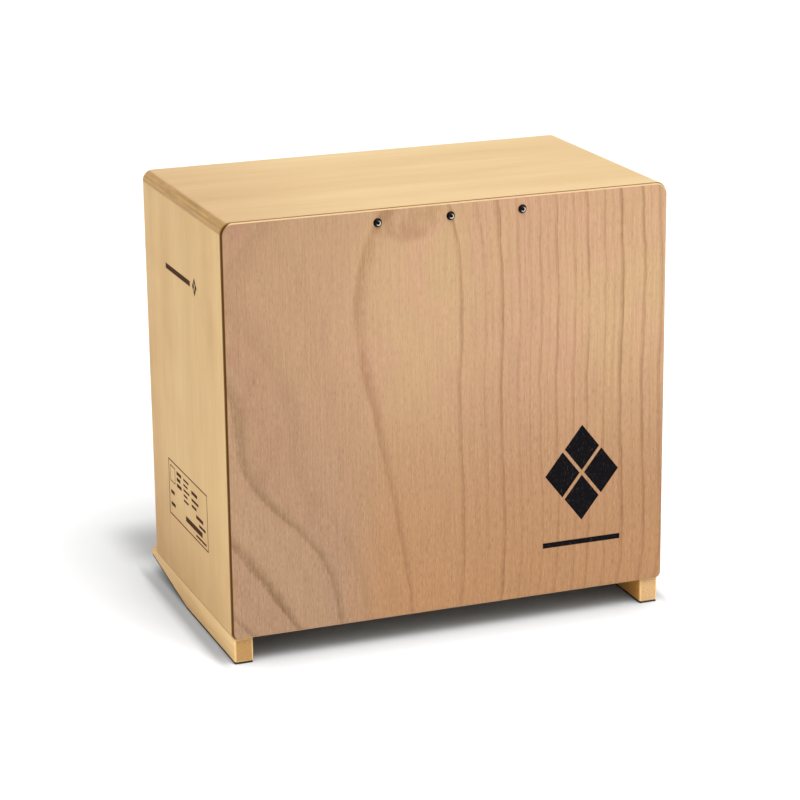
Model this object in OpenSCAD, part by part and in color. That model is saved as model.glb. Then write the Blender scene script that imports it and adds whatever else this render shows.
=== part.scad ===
// Bass cajon: a plywood box drum with a screwed beech playing plate, standing on
// two wooden runners that are level in front and rise towards the back, so that
// the player can lean the box back.
// Origin: on the floor, under the middle of the whole drum.
// +X is to the right of somebody facing the playing plate, +Y points from the
// playing plate to the back panel, +Z is up.

/* [Case] */
// Outer width of the case
case_w = 500; // [420:1:600]
// Height of the case, without the runners
case_h = 450; // [380:1:520]
// Depth of the case, without the playing plate
case_d = 284; // [240:1:340]
// Thickness of the top, side and bottom panels
panel_t = 12; // [9:0.5:15]
// Radius of the two upper long edges
top_corner_r = 11.5; // [4:0.5:11.5]
// Radius of the two lower long edges
base_corner_r = 6; // [2:0.5:9]

/* [Playing plate] */
// Thickness of the playing plate
plate_t = 4; // [3:0.5:6]
// How far the plate's edge stays inside the case's outline
plate_inset = 0.5; // [0:0.1:2]
// Radius of the plate's two upper corners
plate_top_corner_r = 13; // [4:0.5:20]
// Radius of the plate's two lower corners
plate_base_corner_r = 7; // [3:0.5:15]
// Diameter of the clearance holes for the tone screws
plate_hole_d = 5.6; // [5.2:0.1:7]
// Distance between neighbouring tone screws
screw_pitch = 81; // [50:1:110]
// Distance of the tone screws below the top of the case
screw_drop = 14; // [13:0.5:24]

/* [Tone screws] */
// Diameter of the screw's shank
shank_d = 5; // [4:0.5:5]
// Length of the shank
shank_len = 16; // [12:1:16]
// Diameter of the button head
head_d = 9.5; // [8:0.5:12]
// Height of the button head
head_h = 2.7; // [1.8:0.1:3.5]
// Diameter of the flat on top of the button head
head_flat_d = 5.4; // [4.8:0.1:6]
// Width of the hexagon socket across its flats
hex_af = 3; // [2:0.5:4]
// Depth of the hexagon socket
hex_depth = 1.6; // [0.8:0.1:1.8]

/* [Battens] */
// Side of the square batten behind the top of the plate, which takes the tone screws
top_batten = 22; // [20:1:30]
// Side of the other square battens
batten = 15; // [12:1:20]

/* [Back panel] */
// Thickness of the back panel
back_t = 6; // [4:0.5:9]
// Clearance between the back panel and the case around it
back_gap = 0.3; // [0.2:0.1:1]
// Diameter of the sound hole
sound_hole_d = 120; // [80:1:150]
// Distance of the sound hole's centre below the top of the case
sound_hole_drop = 165; // [120:1:200]

/* [Runners] */
// Width of a runner
runner_w = 21.5; // [18:0.5:30]
// Height of a runner at its front
runner_h = 27.5; // [24:0.5:40]
// How far a runner's outer face stays inside the case's side
runner_inset = 2.5; // [0:0.5:8]
// Length of the level stretch of a runner, from its front end
runner_flat = 178; // [150:1:190]
// How far a runner reaches out behind the case
runner_overhang = 33; // [10:1:60]
// Slope of a runner's rear stretch, in degrees
runner_slope = 7.5; // [3:0.5:8]
// Thickness of the non-slip strip under a runner
strip_t = 1.5; // [1:0.5:3]
// How far the strip stays inside the runner's edges
strip_inset = 1; // [0.5:0.5:3]

/* [Snare] */
// Distance of the snare bar's centre below the top of the case
snare_bar_drop = 182; // [178:1:220]
// Height of the snare bar
snare_bar_h = 25; // [20:1:35]
// Thickness of the snare bar
snare_bar_t = 15; // [12:1:20]
// Length of a snare strand
strand_len = 128; // [80:1:128]
// Outer diameter of a snare strand, which is a coil of wire
strand_d = 1.8; // [1.4:0.1:2.4]
// Distance between neighbouring strands
strand_pitch = 3.2; // [2.6:0.1:4]
// Number of strands in one snare
strand_count = 10; // [6:1:12]
// Distance of each snare's middle from the middle of the drum
snare_x = 105; // [60:1:150]

/* [Hidden] */
$fn = 96;

// The case stands on the runners and their strips
base_z = strip_t + runner_h;
top_z = base_z + case_h;

// The whole drum, from the tone screws' heads to the runners' rear ends, is centred on Y
whole_d = head_h + plate_t + case_d + runner_overhang;
case_y = -whole_d / 2 + head_h + plate_t;
back_y = case_y + case_d;

inner_w = case_w - 2 * panel_t;
inner_h = case_h - 2 * panel_t;
inner_z = base_z + panel_t;

runner_len = case_d + runner_overhang;
runner_x = case_w / 2 - runner_inset - runner_w;

// Tone screws, their threaded inserts and the holes they sit in
screw_z = top_z - screw_drop;
shank_clear = 0.05;
insert_d = 8;
insert_len = 14;
insert_clear = 0.02;

sound_hole_z = top_z - sound_hole_drop;

// Countersunk wood screws: the back panel's and the runners'
wood_screw_d = 3.5;
wood_screw_head_d = 7;
wood_screw_head_h = 2.2;
wood_screw_clear = 0.05;
back_screw_len = 18;
runner_screw_len = 28;
runner_screw_count = 3;

// Hook-and-loop pads that hold the snare bar against the side battens
pad_t = 1.5;
pad_w = batten - 2;
pad_gap = 0.1;

// The snare bar and what is fixed to it, counted from the plate's inner face
bar_y = case_y + batten + 2 * pad_t + pad_gap;
bar_z = top_z - snare_bar_drop - snare_bar_h / 2;
bar_len = inner_w - 6;
clip_h = 12;
clip_t = 1;
clip_w = strand_count * strand_pitch + 18;
clip_z = bar_z + snare_bar_h - clip_h - 2;
strand_r = strand_d / 2;
// A strand starts in its clip and leans forward until its tip is just short of the plate
strand_y0 = bar_y - clip_t - strand_r;
strand_y1 = case_y + strand_r + 0.3;
strand_lean = asin((strand_y0 - strand_y1) / strand_len);
clip_screw_d = 3;
clip_screw_head_d = 5.6;
clip_screw_head_h = 1.6;
clip_screw_len = 10;

// ---- Shared shapes ----

// A box given by its lowest corner and its size
module block(corner, size) {
    translate(corner) cube(size);
}

// The front view of the case or the plate: a rectangle with two radii on top and two below
module arched_outline(w, h, top_r, base_r) {
    translate([-w / 2, base_r]) square([w, h - base_r - top_r]);
    translate([-w / 2 + top_r, h - top_r]) square([w - 2 * top_r, top_r]);
    translate([-w / 2 + base_r, 0]) square([w - 2 * base_r, base_r]);
    for (side = [-1, 1]) {
        translate([side * (w / 2 - top_r), h - top_r]) circle(top_r);
        translate([side * (w / 2 - base_r), base_r]) circle(base_r);
    }
}

// A front-view outline made solid, from y to y + depth, with its foot at height z
module standing_slab(y, z, depth) {
    translate([0, y + depth, z]) rotate([90, 0, 0]) linear_extrude(depth) children();
}

// The case as one full block, from which the top and side panels are cut
module case_block() {
    standing_slab(case_y, base_z, case_d)
        arched_outline(case_w, case_h, top_corner_r, base_corner_r);
}

// A side-view outline, drawn as y across and z up, made solid from x to x + width
module side_slab(x, width) {
    translate([x, 0, 0]) rotate([90, 0, 90]) linear_extrude(width) children();
}

// A cylinder that starts at a point and runs towards the back (+Y)
module rod_y(point, d, len) {
    translate(point) rotate([-90, 0, 0]) cylinder(h = len, d = d);
}

// A countersunk wood screw whose head is flush with z = 0 and whose shank points down.
// With grow above zero it is the hole that the screw sits in.
module wood_screw(len, grow = 0) {
    translate([0, 0, -wood_screw_head_h])
        cylinder(h = wood_screw_head_h, d1 = wood_screw_d + 2 * grow, d2 = wood_screw_head_d + 2 * grow);
    translate([0, 0, -len - grow]) cylinder(h = len + grow - 0.5, d = wood_screw_d + 2 * grow);
}

// The cross recess in a wood screw's head
module cross_recess(width, depth) {
    for (turn = [0, 90])
        rotate([0, 0, turn]) translate([-width / 2, -width / 8, -depth]) cube([width, width / 4, depth + 1]);
}

// ---- Case ----

// The pockets of the threaded inserts are drilled after glue-up, so they cut into its underside
module top_panel() {
    color("burlywood") difference() {
        intersection() {
            case_block();
            block([-case_w, case_y - 1, top_z - panel_t], [2 * case_w, case_d + 2, panel_t + 1]);
        }
        insert_pockets();
    }
}

module side_panel(side) {
    color("burlywood") intersection() {
        case_block();
        block([side > 0 ? inner_w / 2 : -case_w, case_y - 1, base_z - 1],
              [case_w - inner_w / 2, case_d + 2, case_h - panel_t + 1]);
    }
}

module bottom_panel() {
    color("burlywood") difference() {
        block([-inner_w / 2, case_y, base_z], [inner_w, case_d, panel_t]);
        for (side = [-1, 1])
            runner_screw_places(side) wood_screw(runner_screw_len, wood_screw_clear);
    }
}

module back_panel() {
    color("wheat") difference() {
        block([-inner_w / 2 + back_gap, back_y - back_t, inner_z + back_gap],
              [inner_w - 2 * back_gap, back_t, inner_h - 2 * back_gap]);
        rod_y([0, back_y - back_t - 1, sound_hole_z], sound_hole_d, back_t + 2);
        back_screw_places() wood_screw(back_screw_len, wood_screw_clear);
    }
}

module playing_plate() {
    w = case_w - 2 * plate_inset;
    h = case_h - 2 * plate_inset;
    color("tan") difference() {
        standing_slab(case_y - plate_t, base_z + plate_inset, plate_t)
            arched_outline(w, h, plate_top_corner_r, plate_base_corner_r);
        for (i = [-1, 0, 1])
            rod_y([i * screw_pitch, case_y - plate_t - 1, screw_z], plate_hole_d, plate_t + 2);
    }
}

// ---- Battens, glued into the corners behind the plate and in front of the back panel ----

module front_top_batten() {
    color("wheat") difference() {
        block([-inner_w / 2, case_y, top_z - panel_t - top_batten], [inner_w, top_batten, top_batten]);
        insert_pockets();
    }
}

// Blind holes that hold the threaded inserts
module insert_pockets() {
    for (i = [-1, 0, 1])
        rod_y([i * screw_pitch, case_y - 1, screw_z], insert_d + 2 * insert_clear, insert_len + 1);
}

module level_batten(y, z) {
    color("wheat") block([-inner_w / 2, y, z], [inner_w, batten, batten]);
}

// An upright batten between the level ones; low and high are its end heights
module upright_batten(side, y, low, high) {
    color("wheat")
        block([side > 0 ? inner_w / 2 - batten : -inner_w / 2, y, low], [batten, batten, high - low]);
}

module front_upright_batten(side) {
    upright_batten(side, case_y, inner_z + batten, top_z - panel_t - top_batten);
}

back_batten_y = back_y - back_t - batten;

module back_top_batten() {
    drilled_for_back() level_batten(back_batten_y, top_z - panel_t - batten);
}

module back_bottom_batten() {
    drilled_for_back() level_batten(back_batten_y, inner_z);
}

module back_upright_batten(side) {
    drilled_for_back() upright_batten(side, back_batten_y, inner_z + batten, top_z - panel_t - batten);
}

module drilled_for_back() {
    color("wheat") difference() {
        children();
        back_screw_places() wood_screw(back_screw_len, wood_screw_clear);
    }
}

// ---- Runners ----

// Height of the runner's sloping underside above the strip's, at a distance from the front
function runner_rise(y) = max(0, y - runner_flat) * tan(runner_slope);

module runner(side) {
    front = case_y;
    rear = case_y + runner_len;
    color("burlywood") difference() {
        side_slab(side > 0 ? runner_x : -runner_x - runner_w, runner_w)
            polygon([
                [front, strip_t],
                [front + runner_flat, strip_t],
                [rear, strip_t + runner_rise(runner_len)],
                [rear, base_z],
                [front, base_z]
            ]);
        runner_screw_places(side) wood_screw(runner_screw_len, wood_screw_clear);
    }
}

module runner_strip(side) {
    front = case_y + strip_inset;
    rear = case_y + runner_len - strip_inset;
    rise = runner_rise(runner_len - strip_inset);
    color("dimgray") side_slab(side > 0 ? runner_x + strip_inset : -runner_x - runner_w + strip_inset,
                               runner_w - 2 * strip_inset)
        polygon([
            [front, 0],
            [case_y + runner_flat, 0],
            [rear, rise],
            [rear, rise + strip_t],
            [case_y + runner_flat, strip_t],
            [front, strip_t]
        ]);
}

// The screws go down through the bottom panel's edge into the runner
module runner_screw_places(side) {
    for (i = [0 : runner_screw_count - 1])
        translate([side * (inner_w / 2 - 6), case_y + 45 + 90 * i, inner_z]) children();
}

module runner_screws() {
    color("silver") for (side = [-1, 1])
        runner_screw_places(side) difference() {
            wood_screw(runner_screw_len);
            cross_recess(3.6, 1.4);
        }
}

// ---- Back panel's screws: two on each upright side, three along the top and the bottom ----

module back_screw_places() {
    edge_x = inner_w / 2 - batten / 2;
    low_z = inner_z + batten / 2;
    high_z = top_z - panel_t - batten / 2;
    for (x = [-1, 0, 1], z = [low_z, high_z])
        translate([x * (edge_x - 12), back_y, z]) rotate([-90, 0, 0]) children();
    for (x = [-1, 1], share = [1 / 3, 2 / 3])
        translate([x * edge_x, back_y, low_z + share * (high_z - low_z)]) rotate([-90, 0, 0]) children();
}

module back_panel_screws() {
    color("silver") back_screw_places() difference() {
        wood_screw(back_screw_len);
        cross_recess(3.6, 1.4);
    }
}

// ---- Tone screws: button heads on the plate, threaded into inserts in the top batten ----

// The head is a slice of a sphere, from its rim to the flat on top
module tone_screw(i) {
    flat_r = head_flat_d / 2;
    centre_z = (pow(flat_r, 2) + pow(head_h, 2) - pow(head_d / 2, 2)) / (2 * head_h);
    dome_r = sqrt(pow(head_d / 2, 2) + pow(centre_z, 2));
    translate([i * screw_pitch, case_y - plate_t, screw_z]) rotate([90, 0, 0])
        color("black") difference() {
            union() {
                rotate_extrude() intersection() {
                    translate([0, centre_z]) circle(dome_r);
                    square([head_d / 2, head_h]);
                }
                translate([0, 0, -shank_len]) cylinder(h = shank_len + 0.5, d = shank_d);
            }
            translate([0, 0, head_h - hex_depth]) cylinder(h = hex_depth + 1, d = hex_af / cos(30), $fn = 6);
        }
}

module threaded_inserts() {
    color("gold") for (i = [-1, 0, 1]) difference() {
        rod_y([i * screw_pitch, case_y, screw_z], insert_d, insert_len);
        rod_y([i * screw_pitch, case_y - 1, screw_z], shank_d + 2 * shank_clear, insert_len + 2);
    }
}

// ---- Removable snare ----

// A pad at each end of the bar
module pad_pair(y) {
    for (side = [-1, 1])
        block([side > 0 ? inner_w / 2 - batten + 1 : -inner_w / 2 + 1, y, bar_z],
              [pad_w, pad_t, snare_bar_h]);
}

module loop_pads() {
    color("dimgray") pad_pair(case_y + batten);
}

module hook_pads() {
    color("black") intersection() {
        pad_pair(bar_y - pad_t);
        block([-bar_len / 2, bar_y - pad_t, 0], [bar_len, pad_t, top_z]);
    }
}

module snare_bar() {
    color("burlywood") difference() {
        block([-bar_len / 2, bar_y, bar_z], [bar_len, snare_bar_t, snare_bar_h]);
        clip_screw_places() clip_shank(wood_screw_clear);
    }
}

// One snare: parallel strands that lean forward from their clip to the plate
module snare_strands(side) {
    first = side * snare_x - (strand_count - 1) * strand_pitch / 2;
    color("silver") for (i = [0 : strand_count - 1])
        translate([first + i * strand_pitch, strand_y0, clip_z + 2])
            rotate([strand_lean, 0, 0]) cylinder(h = strand_len, d = strand_d);
}

// The folded brass strip that clamps the lower ends of the strands to the bar
module snare_clip(side) {
    front = bar_y - clip_t - strand_d - clip_t;
    inner = strand_count * strand_pitch + 1;
    color("goldenrod") difference() {
        union() {
            block([side * snare_x - clip_w / 2, bar_y - clip_t, clip_z], [clip_w, clip_t, clip_h]);
            block([side * snare_x - inner / 2 - 1, front, clip_z], [inner + 2, strand_d + clip_t + 0.5, 5]);
        }
        grown_strands(side);
        clip_screw_places() clip_shank(wood_screw_clear);
    }
}

// The strands with a little room around them, cut out of their clip
module grown_strands(side) {
    first = side * snare_x - (strand_count - 1) * strand_pitch / 2;
    for (i = [0 : strand_count - 1])
        translate([first + i * strand_pitch, strand_y0, clip_z + 2])
            rotate([strand_lean, 0, 0]) cylinder(h = 10, d = strand_d + 0.1);
}

// Two screws hold each clip, one on either side of its strands
module clip_screw_places() {
    for (side = [-1, 1], end = [-1, 1])
        translate([side * snare_x + end * (clip_w / 2 - 3.5), bar_y - clip_t, clip_z + clip_h / 2])
            rotate([90, 0, 0]) children();
}

// The shank of a clip screw, or with grow above zero the hole that it sits in
module clip_shank(grow = 0) {
    translate([0, 0, -clip_screw_len - grow])
        cylinder(h = clip_screw_len + grow + 0.5, d = clip_screw_d + 2 * grow);
}

module snare_clip_screws() {
    color("silver") clip_screw_places() difference() {
        union() {
            cylinder(h = clip_screw_head_h, d1 = clip_screw_head_d, d2 = clip_screw_head_d - 1.6);
            clip_shank();
        }
        translate([0, 0, clip_screw_head_h]) cross_recess(2.6, 0.8);
    }
}

// ---- Assembly ----

top_panel();
bottom_panel();
side_panel(-1);  // left_side_panel
side_panel(1);  // right_side_panel
back_panel();
playing_plate();
front_top_batten();
level_batten(case_y, inner_z);  // front_bottom_batten
front_upright_batten(-1);  // front_left_batten
front_upright_batten(1);  // front_right_batten
back_top_batten();
back_bottom_batten();
back_upright_batten(-1);  // back_left_batten
back_upright_batten(1);  // back_right_batten
runner(-1);  // left_runner
runner(1);  // right_runner
runner_strip(-1);  // left_runner_strip
runner_strip(1);  // right_runner_strip
runner_screws();
back_panel_screws();
threaded_inserts();
tone_screw(-1);  // left_tone_screw
tone_screw(0);  // middle_tone_screw
tone_screw(1);  // right_tone_screw
loop_pads();
hook_pads();
snare_bar();
snare_strands(-1);  // left_snare_strands
snare_strands(1);  // right_snare_strands
snare_clip(-1);  // left_snare_clip
snare_clip(1);  // right_snare_clip
snare_clip_screws();
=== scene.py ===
"""The looks of a bass cajon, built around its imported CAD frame.

Units: Blender works in metres. Sizes here are in millimetres, times MM where they become
coordinates. The materials work in millimetres of the CAD frame as well.
"""

import math

import bmesh
import bpy
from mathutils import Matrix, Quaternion, Vector


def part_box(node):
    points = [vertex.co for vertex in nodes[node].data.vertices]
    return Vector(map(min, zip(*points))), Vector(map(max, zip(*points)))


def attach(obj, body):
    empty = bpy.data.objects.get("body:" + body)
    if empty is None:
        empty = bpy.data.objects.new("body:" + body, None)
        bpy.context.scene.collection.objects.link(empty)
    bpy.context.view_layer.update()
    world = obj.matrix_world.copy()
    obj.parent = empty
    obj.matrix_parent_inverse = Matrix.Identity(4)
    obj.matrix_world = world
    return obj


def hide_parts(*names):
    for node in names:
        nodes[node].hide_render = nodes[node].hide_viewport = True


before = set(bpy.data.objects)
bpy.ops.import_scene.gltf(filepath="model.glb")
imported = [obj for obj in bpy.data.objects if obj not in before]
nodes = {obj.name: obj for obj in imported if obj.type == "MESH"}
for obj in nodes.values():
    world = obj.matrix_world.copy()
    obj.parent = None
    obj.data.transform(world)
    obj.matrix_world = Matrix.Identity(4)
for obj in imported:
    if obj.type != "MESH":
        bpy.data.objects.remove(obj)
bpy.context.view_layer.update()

MM = 0.001


# -------------------- sizes from the frame

def box_mm(name):
    """Lowest and highest corner of a CAD node, in millimetres."""
    low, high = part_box(name)
    return low / MM, high / MM


plate_low, plate_high = box_mm("playing_plate")
top_low, top_high = box_mm("top_panel")
back_low, back_high = box_mm("back_panel")
left_low = box_mm("left_side_panel")[0]
base_high = box_mm("bottom_panel")[1]

PLATE_FRONT = plate_low.y
PLATE_T = plate_high.y - plate_low.y
CASE_FRONT = plate_high.y
CASE_BACK = top_high.y
CASE_TOP = top_high.z
CASE_BASE = left_low.z
HALF_W = -left_low.x
PANEL_T = top_high.z - top_low.z
INNER_HALF_W = base_high.x

# Radii of the case's and the plate's corners, as in the CAD source
TOP_R = 11.5
BASE_R = 6.0
PLATE_TOP_R = 13.0
PLATE_BASE_R = 7.0

# Sound hole, runners and screws, as in the CAD source
SOUND_HOLE_R = 60.0
SOUND_HOLE_DROP = 165.0         # its centre, below the case's top
RUNNER_LEVEL = 178.0            # length of the runners' level part
RUNNER_SLOPE = 7.5              # degrees, behind that
PLATE_HOLE_R = 2.8
BUTTON_FLAT_D = 5.4
TONE_SCREW_R, TONE_SCREW_PITCH = 2.5, 0.8
TONE_SOCKET_HALF, TONE_SOCKET_DEPTH = 1.5, 1.6
WOOD_HEAD_R = 3.5
WOOD_SCREW_R, WOOD_SCREW_PITCH = 1.75, 1.8
WOOD_RECESS_REACH, WOOD_RECESS_WAIST, WOOD_RECESS_DEPTH = 1.8, 0.7, 1.4
BACK_SCREW_LENGTH, RUNNER_SCREW_LENGTH = 18.0, 28.0

# Plies, and the share of each outer veneer that is sanded off
PANEL_PLIES = 7
BACK_PLIES = 5
SANDED_OFF = 0.45

CLOSE = 0.01                    # two faces nearer than this are in one plane
SHARP_ANGLE = 35                # degrees: a sharper edge is an arris


# -------------------- outlines and meshes

def arc(centre, radius, start, end, steps):
    """Points of a circular arc, angles in degrees, both ends included."""
    points = []
    for i in range(steps + 1):
        a = math.radians(start + (end - start) * i / steps)
        points.append((centre[0] + radius * math.cos(a), centre[1] + radius * math.sin(a)))
    return points


def arched_outline(half_w, low, high, top_r, base_r, steps=24):
    """Front view of the case: a rectangle with rounded top and bottom corners."""
    return (
        arc((half_w - base_r, low + base_r), base_r, -90, 0, steps // 2)
        + arc((half_w - top_r, high - top_r), top_r, 0, 90, steps)
        + arc((top_r - half_w, high - top_r), top_r, 90, 180, steps)
        + arc((base_r - half_w, low + base_r), base_r, 180, 270, steps // 2)
    )


def rectangle(x0, z0, x1, z1):
    return [(x0, z0), (x1, z0), (x1, z1), (x0, z1)]


def clip(points, axis, limit, keep_above):
    """The part of a convex outline on one side of a level or upright line."""
    kept = []
    for i, here in enumerate(points):
        there = points[(i + 1) % len(points)]
        inside_here = (here[axis] >= limit) == keep_above
        inside_there = (there[axis] >= limit) == keep_above
        if inside_here:
            kept.append(here)
        if inside_here != inside_there:
            t = (limit - here[axis]) / (there[axis] - here[axis])
            kept.append(tuple(here[k] + t * (there[k] - here[k]) for k in (0, 1)))
    return kept


def place(axis, u, v, w):
    """A point from outline coordinates u, v and the depth w along axis, in metres."""
    order = {"x": (w, u, v), "y": (u, w, v), "z": (u, v, w)}[axis]
    return Vector(order) * MM


def add_sheet(bm, outline, holes, axis, start, end):
    """A flat sheet with holes, extruded along axis from start to end."""
    loops = [outline] + list(holes)
    edges = []
    for loop in loops:
        verts = [bm.verts.new(place(axis, u, v, start)) for u, v in loop]
        for i, vert in enumerate(verts):
            edges.append(bm.edges.new((vert, verts[(i + 1) % len(verts)])))
    if holes:
        bmesh.ops.triangle_fill(bm, edges=edges, use_beauty=True, use_dissolve=False)
        inner = [e for e in bm.edges if len(e.link_faces) == 2]
        bmesh.ops.dissolve_limit(bm, angle_limit=math.radians(1), edges=inner)
        faces = list(bm.faces)
    else:
        faces = [bm.faces.new([e.verts[0] for e in edges])]
    grown = bmesh.ops.extrude_face_region(bm, geom=faces)
    moved = [g for g in grown["geom"] if isinstance(g, bmesh.types.BMVert)]
    shift = place(axis, 0, 0, end) - place(axis, 0, 0, start)
    bmesh.ops.translate(bm, verts=moved, vec=shift)


def weigh_edges(bm, rule):
    """Gives each sharp edge a bevel weight: rule takes its middle in mm and its direction."""
    layer = bm.edges.layers.float.new("bevel_weight_edge")
    for edge in bm.edges:
        if len(edge.link_faces) != 2 or edge.calc_face_angle(0) < math.radians(SHARP_ANGLE):
            continue
        middle = (edge.verts[0].co + edge.verts[1].co) / 2 / MM
        direction = (edge.verts[1].co - edge.verts[0].co).normalized()
        edge[layer] = rule(middle, direction)


def make_object(name, bm, body, material, replaced=()):
    """Turns a bmesh into a piece that rides on a CAD body and stands for CAD nodes."""
    bmesh.ops.recalc_face_normals(bm, faces=bm.faces)
    mesh = bpy.data.meshes.new(name)
    bm.to_mesh(mesh)
    bm.free()
    piece = bpy.data.objects.new(name, mesh)
    bpy.context.scene.collection.objects.link(piece)
    mesh.materials.append(material)
    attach(piece, body)
    if replaced:
        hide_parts(*replaced)
    return piece


def round_edges(piece, width, segments=4, by_weight=True):
    """Rounds a piece's arrises and keeps its flat faces flat in shading."""
    for polygon in piece.data.polygons:
        polygon.use_smooth = True
    bevel = piece.modifiers.new("arris", "BEVEL")
    bevel.width = width * MM
    bevel.segments = segments
    bevel.limit_method = "WEIGHT" if by_weight else "ANGLE"
    bevel.angle_limit = math.radians(40)
    bevel.use_clamp_overlap = False
    bevel.loop_slide = False
    normal = piece.modifiers.new("flat_faces", "WEIGHTED_NORMAL")
    normal.mode = "FACE_AREA"
    normal.weight = 100
    normal.keep_sharp = True


def soften_cad_node(name, width, material, segments=2):
    """Keeps a CAD node's shape, with its sharp edges rounded, and gives it its material."""
    piece = nodes[name]
    piece.data.materials.clear()
    piece.data.materials.append(material)
    weld = piece.modifiers.new("weld", "WELD")
    weld.merge_threshold = 0.002 * MM
    flat = piece.modifiers.new("flat", "DECIMATE")
    flat.decimate_type = "DISSOLVE"
    flat.angle_limit = math.radians(1)
    round_edges(piece, width, segments, by_weight=False)
    return piece


# -------------------- shader formulas

class Value:
    """A number in a node tree. Arithmetic on it adds math nodes."""

    def __init__(self, tree, socket):
        self.tree = tree
        self.socket = socket

    def _math(self, operation, *others):
        node = self.tree.nodes.new("ShaderNodeMath")
        node.operation = operation
        for i, item in enumerate((self,) + others):
            feed(self.tree, node.inputs[i], item)
        return Value(self.tree, node.outputs[0])

    def __add__(self, other):
        return self._math("ADD", other)

    __radd__ = __add__

    def __sub__(self, other):
        return self._math("SUBTRACT", other)

    def __rsub__(self, other):
        return (self * -1.0) + other

    def __mul__(self, other):
        return self._math("MULTIPLY", other)

    def __truediv__(self, other):
        return self._math("DIVIDE", other)

    def floor(self):
        return self._math("FLOOR")

    def fraction(self):
        return self._math("FRACT")

    def absolute(self):
        return self._math("ABSOLUTE")

    def sine(self):
        return self._math("SINE")

    def power(self, exponent):
        return self._math("POWER", exponent)

    def at_least(self, other):
        return self._math("MAXIMUM", other)

    def at_most(self, other):
        return self._math("MINIMUM", other)

    def modulo(self, other):
        return self._math("FLOORED_MODULO", other)

    def smooth_step(self, low, high):
        """0 below low, 1 above high, with a smooth passage between."""
        node = self.tree.nodes.new("ShaderNodeMapRange")
        node.interpolation_type = "SMOOTHSTEP"
        feed(self.tree, node.inputs["Value"], self)
        node.inputs["From Min"].default_value = low
        node.inputs["From Max"].default_value = high
        return Value(self.tree, node.outputs["Result"])

    def polynomial(self, *coefficients):
        """Horner's rule, highest power first."""
        result = self * coefficients[0] + coefficients[1]
        for c in coefficients[2:]:
            result = result * self + c
        return result


def feed(tree, target, item):
    """Connects a Value or sets a plain number, colour or vector."""
    if isinstance(item, Value):
        tree.links.new(item.socket, target)
    elif isinstance(item, (int, float)):
        target.default_value = item
    else:
        target.default_value = tuple(item) + (1.0,) * (len(target.default_value) - len(item))


class Shader:
    """One material, with the few node recipes that the pieces share."""

    def __init__(self, name):
        self.material = bpy.data.materials.new(name)
        self.material.use_nodes = True
        self.tree = self.material.node_tree
        self.tree.nodes.clear()

    def add(self, kind, output=0, settings=None, **inputs):
        node = self.tree.nodes.new(kind)
        for key, value in (settings or {}).items():
            setattr(node, key, value)
        for key, item in inputs.items():
            feed(self.tree, node.inputs[key.replace("_", " ")], item)
        return Value(self.tree, node.outputs[output])

    def place_mm(self):
        """The point's x, y and z in the CAD frame, in millimetres."""
        here = self.add("ShaderNodeTexCoord", "Object")
        return self.split(self.add("ShaderNodeVectorMath", settings={"operation": "SCALE"},
                                   Vector=here, Scale=1.0 / MM))

    def facing(self):
        """How much the surface faces along each axis, from 0 to 1."""
        normal = self.add("ShaderNodeNewGeometry", "True Normal")
        return [part.absolute() for part in self.split(normal)]

    def split(self, vector):
        node = self.tree.nodes.new("ShaderNodeSeparateXYZ")
        feed(self.tree, node.inputs[0], vector)
        return [Value(self.tree, socket) for socket in node.outputs]

    def point(self, x, y, z):
        return self.add("ShaderNodeCombineXYZ", X=x, Y=y, Z=z)

    def noise(self, point, scale=1.0, detail=2.0, roughness=0.5, distortion=0.0):
        """Smooth noise around 0.5."""
        return self.add("ShaderNodeTexNoise", "Fac", settings={"noise_dimensions": "3D"},
                        Vector=point, Scale=scale, Detail=detail, Roughness=roughness,
                        Distortion=distortion)

    def mix(self, amount, first, second, blend="MIX"):
        node = self.tree.nodes.new("ShaderNodeMix")
        node.data_type = "RGBA"
        node.blend_type = blend
        node.clamp_factor = True
        feed(self.tree, node.inputs["Factor"], amount)
        feed(self.tree, node.inputs[6], first)
        feed(self.tree, node.inputs[7], second)
        return Value(self.tree, node.outputs[2])

    def lerp(self, amount, first, second):
        """A number between first and second."""
        node = self.tree.nodes.new("ShaderNodeMix")
        feed(self.tree, node.inputs[0], amount)
        feed(self.tree, node.inputs[2], first)
        feed(self.tree, node.inputs[3], second)
        return Value(self.tree, node.outputs[0])

    def scaled(self, colour, factor):
        """A colour made lighter or darker by a number."""
        return self.add("ShaderNodeVectorMath", settings={"operation": "SCALE"},
                        Vector=colour, Scale=factor)

    def bump(self, height, distance, strength):
        """Relief from a height; the distance is in millimetres."""
        return self.add("ShaderNodeBump", Height=height, Distance=distance * MM,
                        Strength=strength)

    def quiet_bounce(self, colour, grey):
        """The colour as seen, but a neutral grey for the soft light it sends on."""
        bounced = self.add("ShaderNodeLightPath", "Is Diffuse Ray")
        return self.mix(bounced * 0.8, colour, (grey, grey, grey))

    def finish(self, colour, roughness, normal=None, **extra):
        shader = self.tree.nodes.new("ShaderNodeBsdfPrincipled")
        feed(self.tree, shader.inputs["Base Color"], colour)
        feed(self.tree, shader.inputs["Roughness"], roughness)
        if normal is not None:
            feed(self.tree, shader.inputs["Normal"], normal)
        for key, item in extra.items():
            feed(self.tree, shader.inputs[key.replace("_", " ")], item)
        out = self.tree.nodes.new("ShaderNodeOutputMaterial")
        self.tree.links.new(shader.outputs[0], out.inputs["Surface"])
        return self.material


def srgb(red, green, blue):
    """A display colour, 0 to 255, as the linear numbers that shaders use."""
    def linear(c):
        c /= 255
        return c / 12.92 if c <= 0.04045 else ((c + 0.055) / 1.055) ** 2.4
    return (linear(red), linear(green), linear(blue))


# -------------------- wood

AXES = {"x": 0, "y": 1, "z": 2}


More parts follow.
